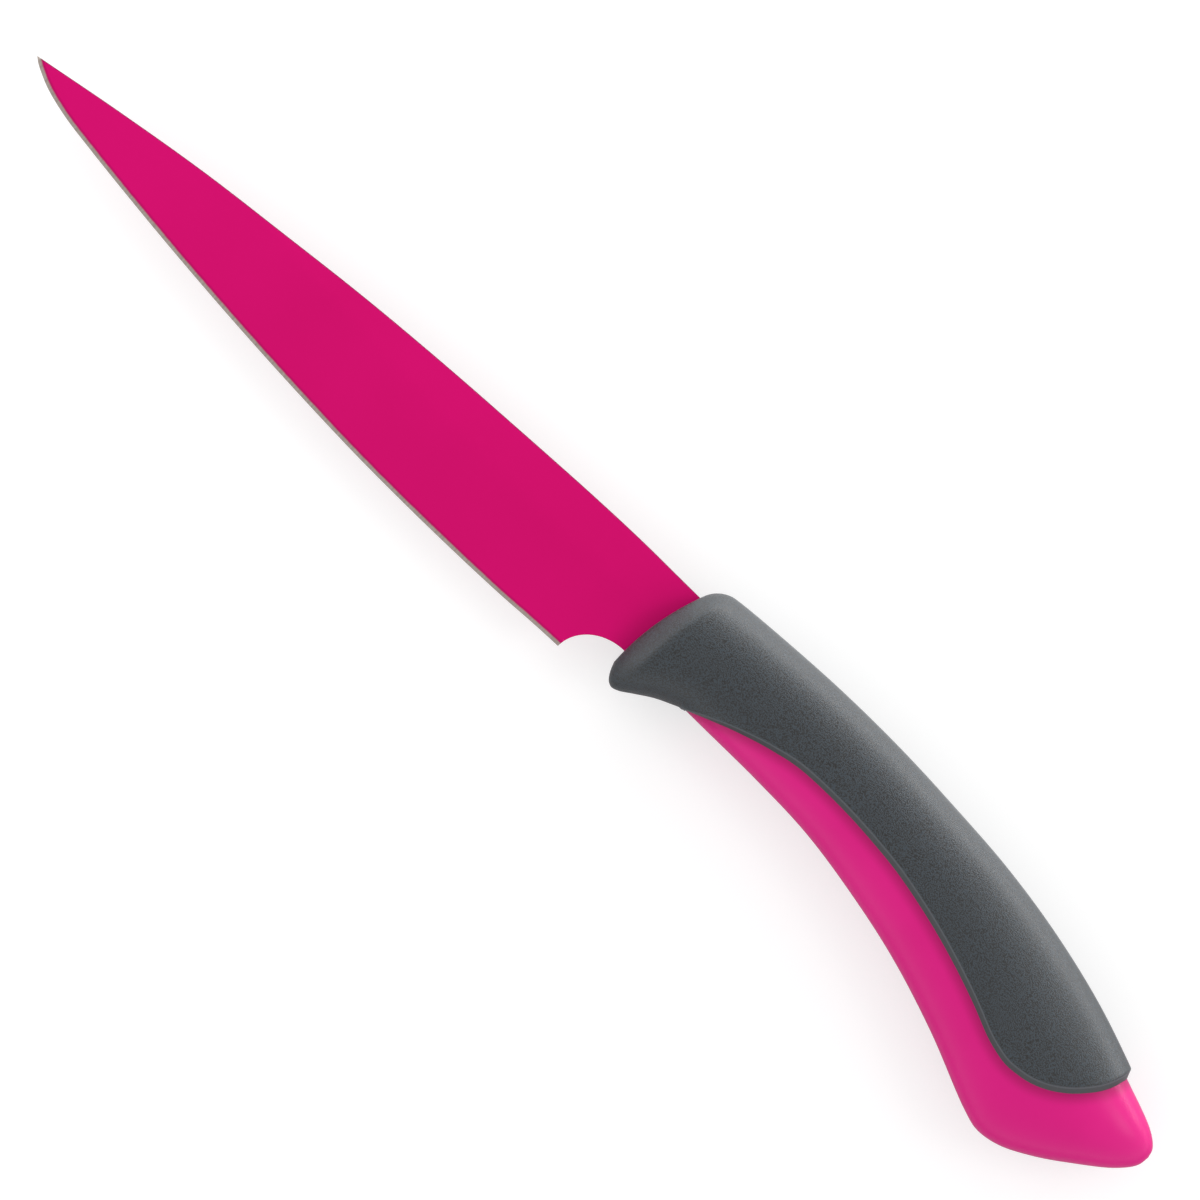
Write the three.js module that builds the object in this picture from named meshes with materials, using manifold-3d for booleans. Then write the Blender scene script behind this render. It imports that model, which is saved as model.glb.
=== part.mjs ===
// Slicing knife: a stamped steel blade with a hidden tang, a hard plastic core moulded over the tang,
// and a soft grip moulded over the core. Millimetres. The knife lies on its side: the tip points to -X,
// the spine to +Y, and Z is the thickness.

import * as THREE from 'three';
import { mergeVertices } from 'three/addons/utils/BufferGeometryUtils.js';
import Module from 'manifold-3d';

const wasm = await Module();
wasm.setup();

// Blade sizes
const bladeLength = 150.3;
const spineRise = 14.1;
const edgeDrop = 11.1;
const heelDrop = 10;
const stock = 1.8;
const bevelHeight = 0.65;
const bevelThickness = 0.44;
const grindHeight = 16;
const grindRunOut = 9;
const spineChamfer = 0.25;
const heelSetback = 9.2;
const ricassoDrop = 2.25;

// Tang sizes
const ricassoDepth = 6.5;
const tangLength = 82;
const tangRootWidth = 11;
const tangEndWidth = 7;
const tangRootHeight = 7;
const tangEndHeight = 1.5;
const tangBendShare = 0.55;
const tangHole = 5;
const tangHoleShares = [0.24, 0.56, 0.88];

// Handle core sizes
const handleLength = 131;
const coreStart = 5.2;
const coreRise = 18.5;
const bellyDepth = 2.2;
const buttDrop = 19.25;
const tailRise = -1.2;
const coreThickness = 16.2;
const tailRoundShare = 0.14;

// Soft grip sizes
const gripLength = 118.9;
const guardLength = 14;
const guardDrop = 8.55;
const frontCurveRadius = 41.5;
const frontCorner = 4.4;
const frontCornerLength = 4.8;
const frontFaceShare = 0.56;
const frontEdgeShare = 0.84;
const noseLength = 4.6;
const noseSoftness = 0.07;
const lipStep = 1;
const bellyStep = 0.4;
const spineStep = 1.6;
const lipWidth = 0.75;
const lipSoftness = 0.12;
const noseRadius = 0.8;
const bedDepth = 1.2;

// Fit between mating surfaces
const clearance = 0.3;

// Colours and finishes
const bladeFinish = new THREE.MeshStandardMaterial({ color: 0xcd116a, roughness: 0.38, metalness: 0.25 });
const coreFinish = new THREE.MeshStandardMaterial({ color: 0xd5277e, roughness: 0.42, metalness: 0 });
const gripFinish = new THREE.MeshStandardMaterial({ color: 0x484c50, roughness: 0.8, metalness: 0 });

// A smooth line through a few points, each given as shares of a length and a height
function smoothLine(points, length, height) {
  const corners = points.map(([along, up]) => new THREE.Vector3(along * length, up * height, 0));
  return new THREE.CatmullRomCurve3(corners, false, 'centripetal');
}

// Height of a smooth line at x, found by halving, because x rises all along the line
function heightAt(line, x) {
  let low = 0;
  let high = 1;
  for (let step = 0; step < 40; step++) {
    const middle = (low + high) / 2;
    if (line.getPoint(middle).x < x) low = middle;
    else high = middle;
  }
  return line.getPoint((low + high) / 2).y;
}

// Stations from start to end, closer together near the start or the end
function spread(start, end, count, closerAtStart = 1) {
  const shares = Array.from({ length: count + 1 }, (_, step) => (step / count) ** closerAtStart);
  return shares.map((share) => start + (end - start) * share);
}

// A closed body through cross-sections. Each section lists the points of one flank from the lowest to the
// highest, both on the middle plane, and the other flank is its mirror image.
function loft(sections) {
  const rings = sections.map((flank) => {
    const mirrored = flank.slice(1, -1).reverse().map(({ x, y, z }) => new THREE.Vector3(x, y, -z));
    return [...flank, ...mirrored];
  });
  const ringSize = rings[0].length;
  const flankSize = sections[0].length;
  const corners = rings.flat().flatMap((point) => [point.x, point.y, point.z]);
  const faces = [];
  for (let ring = 0; ring < rings.length - 1; ring++) {
    for (let side = 0; side < ringSize; side++) {
      const next = (side + 1) % ringSize;
      const here = ring * ringSize;
      const there = here + ringSize;
      faces.push(here + side, there + side, there + next);
      faces.push(here + side, there + next, here + next);
    }
  }
  const end = (rings.length - 1) * ringSize;
  for (let side = 0; side < flankSize - 1; side++) {
    const across = (ringSize - side) % ringSize;
    const nextAcross = ringSize - side - 1;
    faces.push(side, side + 1, nextAcross, side, nextAcross, across);
    faces.push(end + side, end + nextAcross, end + side + 1, end + side, end + across, end + nextAcross);
  }
  const geometry = new THREE.BufferGeometry();
  geometry.setAttribute('position', new THREE.Float32BufferAttribute(corners, 3));
  geometry.setIndex(faces);
  return geometry;
}

// A flat outline made into a plate that is centred on the middle plane
function plate(outline, thickness, curveSegments = 10) {
  const settings = { depth: thickness, bevelEnabled: false, curveSegments };
  const geometry = new THREE.ExtrudeGeometry(outline, settings);
  return geometry.translate(0, 0, -thickness / 2);
}

// A closed solid from a geometry: corners that meet are merged, and faces left without area are dropped
function solid(geometry) {
  geometry.deleteAttribute('normal');
  geometry.deleteAttribute('uv');
  const merged = mergeVertices(geometry);
  const faces = [];
  for (let start = 0; start < merged.index.count; start += 3) {
    const corners = [0, 1, 2].map((offset) => merged.index.getX(start + offset));
    if (new Set(corners).size === 3) faces.push(...corners);
  }
  const vertProperties = new Float32Array(merged.attributes.position.array);
  return new wasm.Manifold(new wasm.Mesh({ numProp: 3, vertProperties, triVerts: new Uint32Array(faces) }));
}

// One named piece of the knife
function piece(name, body, material) {
  const { vertProperties, triVerts } = body.getMesh();
  const geometry = new THREE.BufferGeometry();
  geometry.setAttribute('position', new THREE.BufferAttribute(vertProperties, 3));
  geometry.setIndex(new THREE.BufferAttribute(triVerts, 1));
  geometry.computeVertexNormals();
  const mesh = new THREE.Mesh(geometry, material);
  mesh.name = name;
  return mesh;
}

// Blade outline: the spine rises from the tip and levels out, the edge sweeps down and back up to the heel
const spineLine = smoothLine([
  [0, 0.006], [0.12, 0.238], [0.24, 0.44], [0.36, 0.592], [0.48, 0.732],
  [0.6, 0.835], [0.72, 0.911], [0.84, 0.975], [0.92, 1], [1, 1], [2, 1],
], bladeLength, spineRise);
const edgeLine = smoothLine([
  [0, 0], [0.007, 0.088], [0.018, 0.165], [0.036, 0.255], [0.072, 0.375], [0.12, 0.47], [0.24, 0.655],
  [0.36, 0.803], [0.48, 0.913], [0.6, 0.985], [0.68, 1], [0.76, 0.993], [0.84, 0.965],
  [0.94, heelDrop / edgeDrop], [2, heelDrop / edgeDrop],
], bladeLength, -edgeDrop);

// Half the steel's thickness at a height above the edge: a sharp bevel, then flat-ground sides up to the
// full stock. The grinding runs out in front of the handle, where the sheet keeps its full thickness.
function steelHalf(x, aboveEdge) {
  const bevel = bevelThickness / 2;
  const slope = (stock / 2 - bevel) / (grindHeight - bevelHeight);
  const ground = Math.min(stock / 2, bevel + (aboveEdge - bevelHeight) * slope);
  const runOut = THREE.MathUtils.smoothstep(x, bladeLength - grindRunOut, bladeLength - 1);
  return THREE.MathUtils.lerp(ground, stock / 2, runOut);
}

function bladeSection(x) {
  const spine = heightAt(spineLine, x);
  const edge = heightAt(edgeLine, x);
  const height = spine - edge;
  const chamfer = Math.min(spineChamfer, height / 8);
  const bevel = Math.min(bevelHeight, height / 3);
  const top = height - chamfer;
  const flatStart = Math.min(grindHeight, top - chamfer);
  const middle = (bevel + flatStart) / 2;
  const flank = [bevel, middle, flatStart, top].map((rise) => {
    return new THREE.Vector3(x, edge + rise, steelHalf(x, rise));
  });
  return [
    new THREE.Vector3(x, edge, 0),
    ...flank,
    new THREE.Vector3(x, spine, steelHalf(x, top) - chamfer),
    new THREE.Vector3(x, spine, 0),
  ];
}

// The tang's own edges, from the ricasso's top shoulder round the rounded end to its lower shoulder
function addTang(outline, grow) {
  const shoulder = bladeLength + ricassoDepth + grow;
  const end = shoulder + tangLength - grow;
  const rootTop = tangRootHeight + tangRootWidth / 2 + grow;
  const rootBottom = tangRootHeight - tangRootWidth / 2 - grow;
  const endRadius = tangEndWidth / 2 + grow;
  const bend = shoulder + tangLength * tangBendShare;
  outline.lineTo(shoulder, rootTop);
  outline.quadraticCurveTo(bend, rootTop, end, tangEndHeight + endRadius);
  outline.absarc(end, tangEndHeight, endRadius, Math.PI / 2, -Math.PI / 2, true);
  outline.quadraticCurveTo(bend, rootBottom + (tangRootWidth - tangEndWidth) / 2, shoulder, rootBottom);
  outline.lineTo(shoulder, -ricassoDrop - grow);
}

function addTangHoles(outline, grow) {
  for (const along of tangHoleShares) {
    const x = bladeLength + ricassoDepth + tangLength * along;
    const y = THREE.MathUtils.lerp(tangRootHeight, tangEndHeight, along ** 2);
    const hole = new THREE.Path();
    hole.absarc(x, y, tangHole / 2 - grow, 0, Math.PI * 2, false);
    outline.holes.push(hole);
  }
}

// The stamping's outline. It runs clear of the blade's ground body in front, cuts the round choil behind
// the heel, and follows the tang inside the handle.
function stampedOutline() {
  const clear = 5;
  const outline = new THREE.Shape();
  const heel = bladeLength - heelSetback;
  outline.moveTo(-clear, -edgeDrop - clear);
  outline.lineTo(-clear, spineRise + clear);
  outline.lineTo(bladeLength + ricassoDepth, spineRise + clear);
  addTang(outline, 0);
  outline.absellipse(bladeLength, -heelDrop, heelSetback, heelDrop - ricassoDrop, Math.PI / 2, Math.PI);
  outline.lineTo(heel, -edgeDrop - clear);
  addTangHoles(outline, 0);
  return outline;
}

// The room that the steel takes up in the handle, larger all round by the clearance. It starts in front of
// the handle, so that the steel comes out through the grip's front face.
function steelRoom() {
  const opening = bladeLength - 2;
  const outline = new THREE.Shape();
  outline.moveTo(opening, -ricassoDrop - clearance);
  outline.lineTo(opening, spineRise + clearance);
  outline.lineTo(bladeLength + ricassoDepth + clearance, spineRise + clearance);
  addTang(outline, clearance);
  addTangHoles(outline, clearance);
  return solid(plate(outline, stock + 2 * clearance));
}

function makeBlade() {
  const tip = spread(0, bladeLength * 0.08, 7, 2);
  const body = spread(bladeLength * 0.08, bladeLength, 28).slice(1);
  const tang = spread(bladeLength, bladeLength + ricassoDepth + tangLength + tangEndWidth, 4).slice(1);
  const blank = solid(loft([...tip, ...body, ...tang].map(bladeSection)));
  return blank.intersect(solid(plate(stampedOutline(), stock * 3)));
}

// Handle lines in the handle's own length, which starts at the foremost point of the grip
const coreTopLine = smoothLine([
  [0, 0.84], [0.062, 0.912], [0.144, 0.96], [0.254, 0.998], [0.364, 0.998], [0.474, 0.96], [0.584, 0.897],
  [0.694, 0.773], [0.804, 0.581], [0.904, 0.335], [0.978, 0.13], [0.996, 0.022], [1, tailRise / coreRise],
], handleLength, coreRise);
const coreBellyLine = smoothLine([
  [0, 0], [0.15, 0], [0.254, 0], [0.351, 0.032], [0.45, 0.147], [0.557, 0.331], [0.666, 0.604],
  [0.773, 0.938], [0.804, 1], [0.84, 0.958], [0.886, 0.782], [0.931, 0.547], [0.978, 0.262], [0.997, 0.075],
  [1, (-tailRise - bellyDepth) / (buttDrop - bellyDepth)],
], handleLength, -(buttDrop - bellyDepth));
const waistLine = smoothLine([
  [0, 0.96], [0.08, 1], [0.28, 0.945], [0.56, 1], [0.76, 0.99], [0.88, 0.9], [1, 0.8],
], handleLength, coreThickness / 2);

// The grip's edge on each flank, as a share of the way from the belly to the spine
const splitLine = smoothLine([
  [0, -0.027], [0.045, 0.073], [0.1, 0.18], [0.17, 0.283], [0.23, 0.341], [0.3, 0.363], [0.38, 0.383],
  [0.457, 0.394], [0.54, 0.382], [0.64, 0.363], [0.715, 0.346], [0.77, 0.3335], [0.81, 0.346], [0.86, 0.403],
  [0.9, 0.463], [0.935, 0.548], [0.962, 0.662], [0.982, 0.804], [1, 1.1],
], gripLength - guardLength, 1);

// The guard's underside, from the front face round the tip and back up to the belly
const guardLine = smoothLine([
  [0, 0.58], [0.05, 0.78], [0.12, 0.94], [0.2, 1], [0.3, 0.95], [0.45, 0.79], [0.7, 0.53],
  [1, (bellyDepth + bellyStep) / guardDrop],
], guardLength, -guardDrop);

function coreTop(along) {
  return heightAt(coreTopLine, along);
}

function coreBelly(along) {
  return heightAt(coreBellyLine, along) - bellyDepth;
}

// Half the core's thickness, which closes in a blunt dome at the tail
function coreHalf(along) {
  const roundLength = tailRoundShare * handleLength;
  const share = Math.max(0, (along - handleLength) / roundLength + 1);
  const rounding = Math.max(0, 1 - share ** 2.6) ** 0.45;
  return heightAt(waistLine, along) * rounding;
}

function splitHeight(along) {
  const share = heightAt(splitLine, along - guardLength);
  return THREE.MathUtils.lerp(coreBelly(along), coreTop(along), share);
}

// A handle section is a rounded oval: fuller than an ellipse on the flanks, rounder over the spine
const flankFullness = { spine: 2.25, belly: 2.5 };

function ovalPoint(oval, angle) {
  const lower = angle < 0;
  const power = 2 / (lower ? flankFullness.belly : flankFullness.spine);
  const middle = (oval.top + oval.bottom) / 2;
  const reach = (oval.top - oval.bottom) / 2;
  const y = middle + Math.sign(angle) * reach * Math.abs(Math.sin(angle)) ** power;
  const z = oval.half * Math.abs(Math.cos(angle)) ** power;
  return new THREE.Vector3(0, y, Math.abs(Math.abs(angle) - Math.PI / 2) < 1e-6 ? 0 : z);
}

// The angle round the oval at which it has a given height
function ovalAngle(oval, height) {
  const middle = (oval.top + oval.bottom) / 2;
  const share = THREE.MathUtils.clamp((height - middle) / ((oval.top - oval.bottom) / 2), -1, 1);
  const fullness = share < 0 ? flankFullness.belly : flankFullness.spine;
  return Math.sign(share) * Math.asin(Math.abs(share) ** (fullness / 2));
}

function coreOval(along, inset = 0) {
  const half = Math.max(0, coreHalf(along) - inset);
  return { top: coreTop(along) - inset, bottom: coreBelly(along) + inset, half };
}

// How wide the nose is behind the front face: a rounded edge, a flat band, and a soft ridge to the flank
function noseShare(behind) {
  const ramp = frontFaceShare + (1 - frontFaceShare) * (behind / noseLength) - 1;
  const blended = 1 + (ramp - Math.hypot(ramp, noseSoftness)) / 2;
  const edge = Math.min(1, behind / noseRadius);
  return blended * THREE.MathUtils.lerp(frontEdgeShare, 1, Math.sqrt(1 - (1 - edge) ** 2));
}

// Ribs of the grip's front lie parallel to its curved front face and straighten towards the end of the guard
function frontRib(behind) {
  const bowed = 1 - THREE.MathUtils.smoothstep(behind, 0, guardLength);
  const frontTop = coreTop(frontCorner) + spineStep - frontCorner;
  const cornerStart = (frontTop + ricassoDrop) ** 2 / (2 * frontCurveRadius);
  const topAlong = behind + cornerStart * bowed;
  const cornerLeft = THREE.MathUtils.clamp(1 - (topAlong - cornerStart) / frontCornerLength, 0, 1);
  const cornerCut = frontCorner * (1 - Math.sqrt(1 - cornerLeft ** 2));
  const oval = {
    top: coreTop(topAlong) + spineStep - cornerCut,
    bottom: heightAt(guardLine, behind),
    half: (coreHalf(behind) + lipStep) * noseShare(behind),
  };
  const bow = bowed / (2 * frontCurveRadius);
  return { oval, bow, lean: topAlong - behind };
}

function rearRib(along) {
  const core = coreOval(along);
  const half = (core.half + lipStep) * noseShare(along);
  const oval = { top: core.top + spineStep, bottom: core.bottom - bellyStep, half };
  return { oval, bow: 0, lean: 0 };
}

function gripRib(along) {
  return along < guardLength ? frontRib(along) : rearRib(along);
}

// Where the grip's edge comes up from under the belly, and where it goes over the spine
function splitReaches(share) {
  let low = guardLength;
  let high = gripLength;
  for (let step = 0; step < 40; step++) {
    const middle = (low + high) / 2;
    if (heightAt(splitLine, middle - guardLength) < share) low = middle;
    else high = middle;
  }
  return (low + high) / 2;
}

const splitStart = splitReaches(0);
const splitEnd = splitReaches(1);
const splitPoints = [
  ...spread(splitStart, splitStart + 4, 10, 2),
  ...spread(splitStart + 4, splitEnd - 8, 40).slice(1),
  ...spread(splitEnd, splitEnd - 8, 16, 1.6).reverse().slice(1),
].map((along) => {
  const oval = coreOval(along);
  return ovalPoint(oval, ovalAngle(oval, splitHeight(along))).setX(along);
});

const splitEdges = splitPoints.slice(1).map((point, index) => new THREE.Line3(splitPoints[index], point));

// How far the grip stands out at a point of the core: nothing at its edge, then a bevel up to a soft crest
function lipShare(point) {
  const nearby = splitEdges.map((edge) => edge.closestPointToPoint(point, true, new THREE.Vector3()));
  const nearest = Math.min(...nearby.map((spot) => spot.distanceTo(point)));
  const rise = nearest / lipWidth;
  return THREE.MathUtils.clamp((1 + rise - Math.hypot(1 - rise, lipSoftness)) / 2, 0, 1);
}

function gripSection(along) {
  const rib = gripRib(along);
  const core = coreOval(along);
  const open = along > splitStart;
  const edge = open ? splitHeight(along) : core.bottom;
  const lipAngles = [0, 0.5, 0.9, 1.1, 1.5].map((share) => ovalAngle(core, edge + lipWidth * share));
  const flankAngles = spread(lipAngles.at(-1), Math.PI / 2, 10).slice(1);
  const flank = [...lipAngles, ...flankAngles].map((angle, index) => {
    const under = ovalPoint(core, angle).setX(along);
    const over = ovalPoint(rib.oval, angle);
    const height = (over.y - rib.oval.bottom) / (rib.oval.top - rib.oval.bottom);
    const bowed = rib.bow * (over.y - rib.oval.bottom) * (rib.oval.top - over.y);
    over.x = along + rib.lean * height - bowed;
    const share = along < guardLength ? 1 : lipShare(under);
    return under.lerp(over, open && index === 0 ? 0 : share);
  });
  return [new THREE.Vector3(flank[0].x, flank[0].y, 0), ...flank];
}

// The core's buried part: a seat under the grip, one bed deep, that ends in a flat face behind the front
function makeSeat(grow) {
  const stations = [
    ...spread(coreStart - grow, guardLength, 5),
    ...spread(guardLength, splitEnd, 24).slice(1),
    splitEnd + 3,
  ];
  const sections = stations.map((along) => {
    const rib = gripRib(along).oval;
    const oval = {
      top: coreTop(along) - bedDepth + grow,
      bottom: rib.bottom + bellyStep + bedDepth - grow,
      half: rib.half - lipStep - bedDepth + grow,
    };
    return spread(-Math.PI / 2, Math.PI / 2, 12).map((angle) => ovalPoint(oval, angle).setX(along));
  });
  return solid(loft(sections)).translate(bladeLength, 0, 0);
}

// Everything on the grip's side of its edge, right through the handle, with the edge moved out to clear it
function gripSide() {
  const reach = 40;
  const stations = [...spread(splitStart, splitEnd - 8, 40), ...spread(splitEnd - 8, splitEnd, 14).slice(1)];
  const edge = stations.map((along) => new THREE.Vector2(along, splitHeight(along)));
  const moved = edge.map((point, index) => {
    const before = edge[Math.max(0, index - 1)];
    const after = edge[Math.min(edge.length - 1, index + 1)];
    const outward = after.clone().sub(before).normalize().rotateAround(new THREE.Vector2(), -Math.PI / 2);
    return point.clone().addScaledVector(outward, clearance);
  });
  const entry = moved[0].clone().sub(moved[1].clone().sub(moved[0]).setLength(reach));
  const outline = new THREE.Shape([
    new THREE.Vector2(entry.x, reach),
    entry,
    ...moved.slice(1),
    new THREE.Vector2(moved.at(-1).x, reach),
  ]);
  return solid(plate(outline, reach)).translate(bladeLength, 0, 0);
}

function makeCore() {
  const stations = [
    ...spread(guardLength - 1, 0.75 * handleLength, 20),
    ...spread(0.75 * handleLength, 0.94 * handleLength, 12).slice(1),
    ...spread(handleLength, 0.94 * handleLength, 9, 2).reverse().slice(1),
  ];
  const sections = stations.map((along) => {
    const oval = coreOval(along);
    return spread(-Math.PI / 2, Math.PI / 2, 14).map((angle) => ovalPoint(oval, angle).setX(along));
  });
  const blank = solid(loft(sections)).translate(bladeLength, 0, 0);
  return blank.subtract(gripSide()).add(makeSeat(0)).subtract(steelRoom());
}

function makeGrip() {
  const stations = [
    ...spread(0, guardLength, 14, 1.5),
    ...spread(guardLength, splitStart, 3).slice(1),
    ...spread(splitStart, splitStart + 6, 7, 1.8).slice(1),
    ...spread(splitStart + 6, splitEnd - 14, 20).slice(1),
    ...spread(splitEnd, splitEnd - 14, 12, 1.7).reverse().slice(1),
  ];
  const blank = solid(loft(stations.map(gripSection))).translate(bladeLength, 0, 0);
  return blank.subtract(makeSeat(clearance)).subtract(steelRoom());
}

const knife = new THREE.Group();
knife.add(piece('blade', makeBlade(), bladeFinish));
knife.add(piece('handle_core', makeCore(), coreFinish));
knife.add(piece('soft_grip', makeGrip(), gripFinish));

// The origin is under the middle of the knife, on the surface that it lies on
const bounds = new THREE.Box3().setFromObject(knife);
const middle = bounds.getCenter(new THREE.Vector3());
knife.position.set(-middle.x, -middle.y, -bounds.min.z);

export default knife;
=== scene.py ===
# %% [markdown]
# # A slicing knife with a coated blade and a soft grip
#
# The real knife is made from the inside out. A blade is stamped from sheet steel, ground and coated, with its
# tang left on. A hard plastic core is moulded round the tang, and a soft grip is moulded over the core. The
# scene keeps that order and gives each of the three its own mesh and its own finish.
#
# Everything is in metres, in the frame of the measured model: the knife lies on its side, the tip points to
# -X, the spine to +Y, and Z is up through the thickness. The measured solids are loaded first, and each mesh
# that is made here takes the place of one of them.

# %% Load the measured model
import math

import bmesh
import bpy
import numpy as np
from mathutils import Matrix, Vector


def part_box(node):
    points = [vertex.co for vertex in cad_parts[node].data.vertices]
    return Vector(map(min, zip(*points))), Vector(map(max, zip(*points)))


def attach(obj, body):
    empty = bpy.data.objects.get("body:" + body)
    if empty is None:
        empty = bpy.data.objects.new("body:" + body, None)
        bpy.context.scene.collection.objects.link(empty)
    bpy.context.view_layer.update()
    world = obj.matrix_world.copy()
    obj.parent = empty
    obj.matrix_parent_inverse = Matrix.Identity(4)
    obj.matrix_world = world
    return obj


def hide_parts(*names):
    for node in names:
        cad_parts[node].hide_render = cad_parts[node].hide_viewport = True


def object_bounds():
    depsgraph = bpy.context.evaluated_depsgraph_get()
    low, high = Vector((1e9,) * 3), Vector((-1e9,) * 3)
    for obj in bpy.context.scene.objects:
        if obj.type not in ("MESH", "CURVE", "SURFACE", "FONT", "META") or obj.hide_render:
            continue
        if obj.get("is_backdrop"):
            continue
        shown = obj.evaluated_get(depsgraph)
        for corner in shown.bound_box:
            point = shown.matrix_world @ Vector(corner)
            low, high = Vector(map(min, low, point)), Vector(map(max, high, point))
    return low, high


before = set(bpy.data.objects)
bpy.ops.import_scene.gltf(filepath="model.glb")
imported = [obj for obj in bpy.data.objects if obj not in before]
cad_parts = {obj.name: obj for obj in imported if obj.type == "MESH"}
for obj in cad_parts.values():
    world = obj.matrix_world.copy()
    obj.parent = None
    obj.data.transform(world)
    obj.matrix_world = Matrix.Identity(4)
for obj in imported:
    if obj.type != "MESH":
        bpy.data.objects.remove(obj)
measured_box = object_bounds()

print("pieces of the measured model:", sorted(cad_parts))

# %% [markdown]
# ## Sizes
#
# A maker's drawing starts with the sizes, so they come before any shape. They are the sizes of the measured
# solids, and the knife's own zero point is the tip of the blade, on the middle plane of the sheet. The blade's
# box, read from the model, says where that point lies.

# %% The knife's sizes and its zero point
mm = 0.001

blade_length = 150.3 * mm
spine_rise = 14.1 * mm
edge_drop = 11.1 * mm
heel_drop = 10 * mm
stock = 1.8 * mm
bevel_height = 0.65 * mm
bevel_thickness = 0.44 * mm
grind_height = 16 * mm
grind_run_out = 9 * mm
spine_chamfer = 0.25 * mm
cut_chamfer = 0.12 * mm
heel_setback = 9.2 * mm
ricasso_drop = 2.25 * mm

ricasso_depth = 6.5 * mm
tang_length = 82 * mm
tang_root_width = 11 * mm
tang_end_width = 7 * mm
tang_root_height = 7 * mm
tang_end_height = 1.5 * mm
tang_bend_share = 0.55

handle_length = 131 * mm
core_start = 5.2 * mm
core_rise = 18.5 * mm
belly_depth = 2.2 * mm
butt_drop = 19.25 * mm
tail_rise = -1.2 * mm
core_thickness = 16.2 * mm
tail_round_share = 0.14
tail_flatness = 2.6
tail_roundness = 0.45

grip_length = 118.9 * mm
guard_length = 14 * mm
guard_drop = 8.55 * mm
front_curve_radius = 41.5 * mm
front_corner = 4.4 * mm
front_corner_length = 4.8 * mm
front_face_share = 0.56
front_edge_share = 0.84
nose_length = 4.6 * mm
nose_softness = 0.07
lip_step = 1 * mm
belly_step = 0.4 * mm
spine_step = 1.6 * mm
lip_width = 0.75 * mm
lip_softness = 0.12
nose_radius = 0.8 * mm
bed_depth = 1.2 * mm

steel_low, steel_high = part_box("blade")
tip = np.array([steel_low[0], steel_high[1] - spine_rise, (steel_low[2] + steel_high[2]) / 2])
handle_zero = tip + (blade_length, 0, 0)
print("the tip is at", [round(value / mm, 2) for value in tip], "mm")

# %% [markdown]
# ## Smooth lines
#
# The blade's spine and edge and the handle's back and belly are free curves. A few points, placed as shares of
# a length and a height, carry each of them. A curve through the points could be a Bezier with handles set by
# hand, but a Catmull-Rom curve goes through every point by itself, and its centripetal form doesn't loop or
# bulge where two points are close. It is sampled finely once, and afterwards its height is read at any place.


# %% A smooth line that gives its height at any place
def smooth_line(points, length, height):
    """A function that reads the height of the curve through the points at any place along it."""
    corners = np.array(points, float) * (length, height)
    chain = [2 * corners[0] - corners[1], *corners, 2 * corners[-1] - corners[-2]]
    share = np.linspace(0, 1, 60, endpoint=False)[:, None]
    spans = []
    for before, start, stop, after in zip(chain, chain[1:], chain[2:], chain[3:]):
        gap_in, gap, gap_out = (
            np.linalg.norm(far - near) ** 0.5 for near, far in ((before, start), (start, stop), (stop, after))
        )
        leaving = (stop - start) + gap * ((start - before) / gap_in - (stop - before) / (gap_in + gap))
        arriving = (stop - start) + gap * ((after - stop) / gap_out - (after - start) / (gap + gap_out))
        spans.append(
            start * (2 * share**3 - 3 * share**2 + 1) + leaving * (share**3 - 2 * share**2 + share)
            + stop * (3 * share**2 - 2 * share**3) + arriving * (share**3 - share**2)
        )
    line = np.vstack([*spans, corners[-1:]])
    return lambda along: np.interp(along, line[:, 0], line[:, 1])


def smooth_step(value, start, stop):
    """Rises from 0 at the start to 1 at the stop, without a corner at either."""
    share = np.clip((value - start) / (stop - start), 0, 1)
    return share * share * (3 - 2 * share)


# %% [markdown]
# ## A net that is wrapped round a form
#
# Every surface here is a long form with a changing section. It could be built from section rings bridged one
# to the next, but a flat net of quads that is wrapped round the whole form does it in one step, as a pattern
# is wrapped round a last: the net's columns are the stations along the form and its rows run round it. Knots
# that meet, at a pole or where the net closes on itself, are then melted together.


# %% Stations, mirrored flanks and the wrapped net
def spread(start, stop, count, closer_at_start=1):
    """Both ends and the places between them in so many steps, which a power above 1 crowds at the start."""
    return start + (stop - start) * np.linspace(0, 1, count + 1) ** closer_at_start


def both_flanks(surface):
    """The rows of the near flank, from belly to back, and their mirror images from the back down again."""
    return np.concatenate([surface, surface[:, -2::-1] * (1, 1, -1)], axis=1)


def wrap_net(surface, zero):
    """A net with a knot for each point of the surface, and the column and row of each knot."""
    columns, rows = surface.shape[0] - 1, surface.shape[1] - 1
    net = bmesh.new()
    bmesh.ops.create_grid(net, x_segments=columns, y_segments=rows, size=1)
    places = [
        (round((knot.co.x + 1) / 2 * columns), round((knot.co.y + 1) / 2 * rows)) for knot in net.verts
    ]
    for knot, place in zip(net.verts, places):
        knot.co = surface[place] + zero
    return net, places


# %% [markdown]
# ## From a net to a finished piece
#
# A mould or a grinding wheel leaves some edges crisp and the rest smooth. Edges that turn by more than a given
# angle are marked sharp, and all other faces shade smoothly into each other. The normals are worked out again
# after the knots are melted, so that the form points outwards. The open edges that are counted are all edges
# that don't lie between exactly two faces. Each piece then rides on the root body, gets its finish, and hides
# the measured solid that it stands for.

# %% Finish a net as a piece of the knife
melt_distance = 0.002 * mm


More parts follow.
